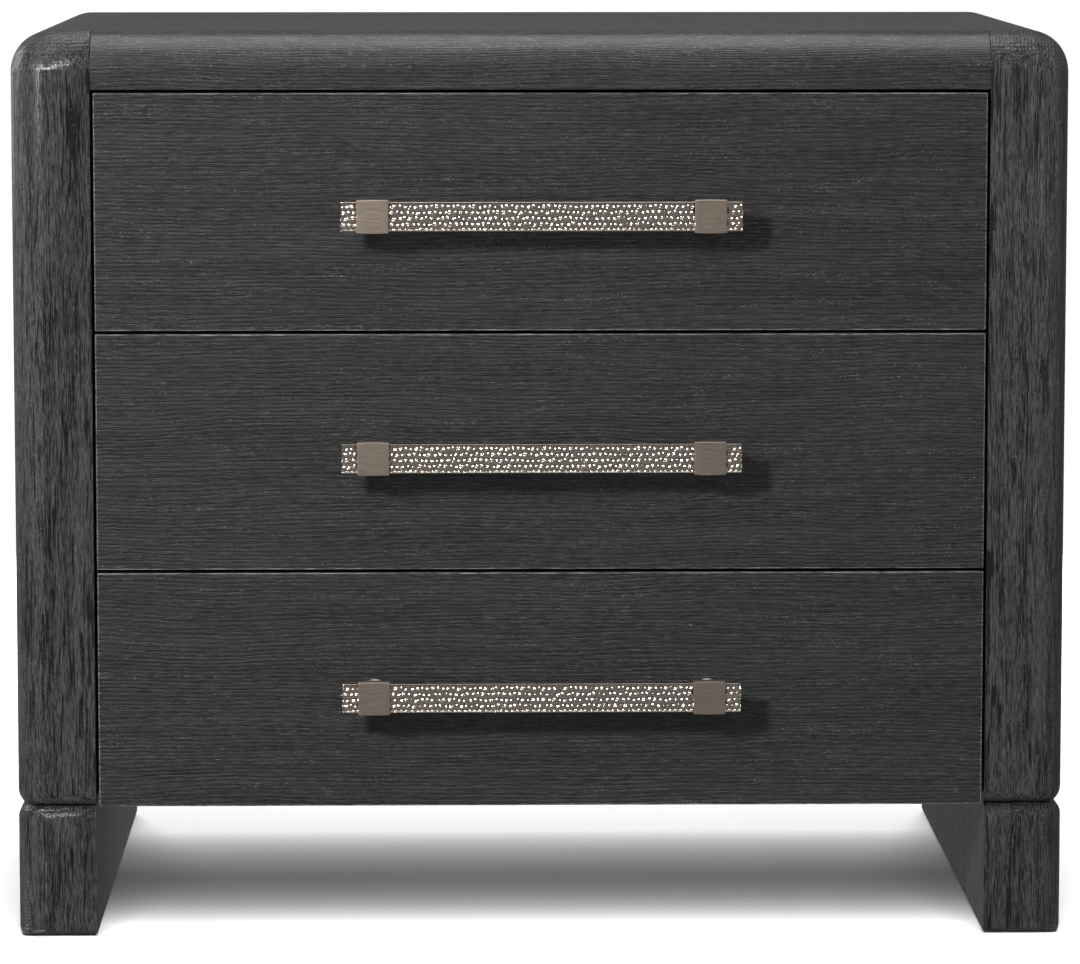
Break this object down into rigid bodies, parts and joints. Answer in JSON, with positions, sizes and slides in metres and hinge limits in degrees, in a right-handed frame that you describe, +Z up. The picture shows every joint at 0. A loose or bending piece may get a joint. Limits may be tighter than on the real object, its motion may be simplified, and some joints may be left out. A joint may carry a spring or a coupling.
{
  "type": "nightstand",
  "caption": "Low bedside chest with round-edged side panels on separate foot panels, inset drawers on ball-bearing slides and hammered flat bar handles.",
  "frame": {"origin": "on the floor, under the centre of the whole object's box, handles included", "axes": "+Z up, +X along the width towards the right side as the user faces the front, +Y from the drawer fronts towards the back"},
  "size_m": [0.762, 0.546, 0.6574],
  "materials": {
    "oak_upright": "charcoal-stained, wire-brushed oak veneer with upright grain, satin lacquer",
    "oak_level": "charcoal-stained, wire-brushed oak veneer with level grain, satin lacquer",
    "oak_inner": "charcoal-stained oak veneer, flat satin lacquer",
    "birch_ply": "clear-lacquered birch, satin",
    "hammered_nickel": "hammered, polished warm nickel plate on cast brass",
    "satin_nickel": "finely brushed warm nickel plate on cast brass",
    "zinc_steel": "bright zinc-plated cold-rolled steel",
    "black_nylon": "moulded, matte"
  },
  "bodies": {
    "case": {"side_panel_left": "oak_upright", "side_panel_right": "oak_upright", "foot_panel_left": "oak_upright", "foot_panel_right": "oak_upright", "glide_front_left": "black_nylon", "glide_front_right": "black_nylon", "glide_back_left": "black_nylon", "glide_back_right": "black_nylon", "top_panel": "oak_level", "back_panel": "oak_inner", "base_panel": "oak_inner", "drawer_rail_lower": "oak_inner", "drawer_rail_upper": "oak_inner", "bottom_drawer_slide_cabinet_left": "zinc_steel", "bottom_drawer_slide_cabinet_right": "zinc_steel", "middle_drawer_slide_cabinet_left": "zinc_steel", "middle_drawer_slide_cabinet_right": "zinc_steel", "top_drawer_slide_cabinet_left": "zinc_steel", "top_drawer_slide_cabinet_right": "zinc_steel"},
    "bottom_drawer": {"bottom_drawer_front": "oak_level", "bottom_drawer_box_side_left": "birch_ply", "bottom_drawer_box_side_right": "birch_ply", "bottom_drawer_box_front": "birch_ply", "bottom_drawer_box_back": "birch_ply", "bottom_drawer_box_bottom": "birch_ply", "bottom_drawer_handle_bar": "hammered_nickel", "bottom_drawer_handle_sleeve_left": "satin_nickel", "bottom_drawer_handle_sleeve_right": "satin_nickel", "bottom_drawer_slide_drawer_left": "zinc_steel", "bottom_drawer_slide_drawer_right": "zinc_steel"},
    "bottom_drawer_slide_middles": {"bottom_drawer_slide_middle_left": "zinc_steel", "bottom_drawer_slide_middle_right": "zinc_steel"},
    "middle_drawer": {"middle_drawer_front": "oak_level", "middle_drawer_box_side_left": "birch_ply", "middle_drawer_box_side_right": "birch_ply", "middle_drawer_box_front": "birch_ply", "middle_drawer_box_back": "birch_ply", "middle_drawer_box_bottom": "birch_ply", "middle_drawer_handle_bar": "hammered_nickel", "middle_drawer_handle_sleeve_left": "satin_nickel", "middle_drawer_handle_sleeve_right": "satin_nickel", "middle_drawer_slide_drawer_left": "zinc_steel", "middle_drawer_slide_drawer_right": "zinc_steel"},
    "middle_drawer_slide_middles": {"middle_drawer_slide_middle_left": "zinc_steel", "middle_drawer_slide_middle_right": "zinc_steel"},
    "top_drawer": {"top_drawer_front": "oak_level", "top_drawer_box_side_left": "birch_ply", "top_drawer_box_side_right": "birch_ply", "top_drawer_box_front": "birch_ply", "top_drawer_box_back": "birch_ply", "top_drawer_box_bottom": "birch_ply", "top_drawer_handle_bar": "hammered_nickel", "top_drawer_handle_sleeve_left": "satin_nickel", "top_drawer_handle_sleeve_right": "satin_nickel", "top_drawer_slide_drawer_left": "zinc_steel", "top_drawer_slide_drawer_right": "zinc_steel"},
    "top_drawer_slide_middles": {"top_drawer_slide_middle_left": "zinc_steel", "top_drawer_slide_middle_right": "zinc_steel"}
  },
  "joints": [
    {"name": "bottom_drawer_slide", "type": "slide", "parent": "case", "child": "bottom_drawer", "axis": [0, -1, 0], "range_m": [0, 0.43]},
    {"name": "bottom_drawer_middle_member_slide", "type": "slide", "parent": "case", "child": "bottom_drawer_slide_middles", "axis": [0, -1, 0], "range_m": [0, 0.215]},
    {"name": "middle_drawer_slide", "type": "slide", "parent": "case", "child": "middle_drawer", "axis": [0, -1, 0], "range_m": [0, 0.43]},
    {"name": "middle_drawer_middle_member_slide", "type": "slide", "parent": "case", "child": "middle_drawer_slide_middles", "axis": [0, -1, 0], "range_m": [0, 0.215]},
    {"name": "top_drawer_slide", "type": "slide", "parent": "case", "child": "top_drawer", "axis": [0, -1, 0], "range_m": [0, 0.43]},
    {"name": "top_drawer_middle_member_slide", "type": "slide", "parent": "case", "child": "top_drawer_slide_middles", "axis": [0, -1, 0], "range_m": [0, 0.215]}
  ],
  "couplings": [
    {"joint": "bottom_drawer_middle_member_slide", "follows": "bottom_drawer_slide", "ratio": 0.5},
    {"joint": "middle_drawer_middle_member_slide", "follows": "middle_drawer_slide", "ratio": 0.5},
    {"joint": "top_drawer_middle_member_slide", "follows": "top_drawer_slide", "ratio": 0.5}
  ]
}
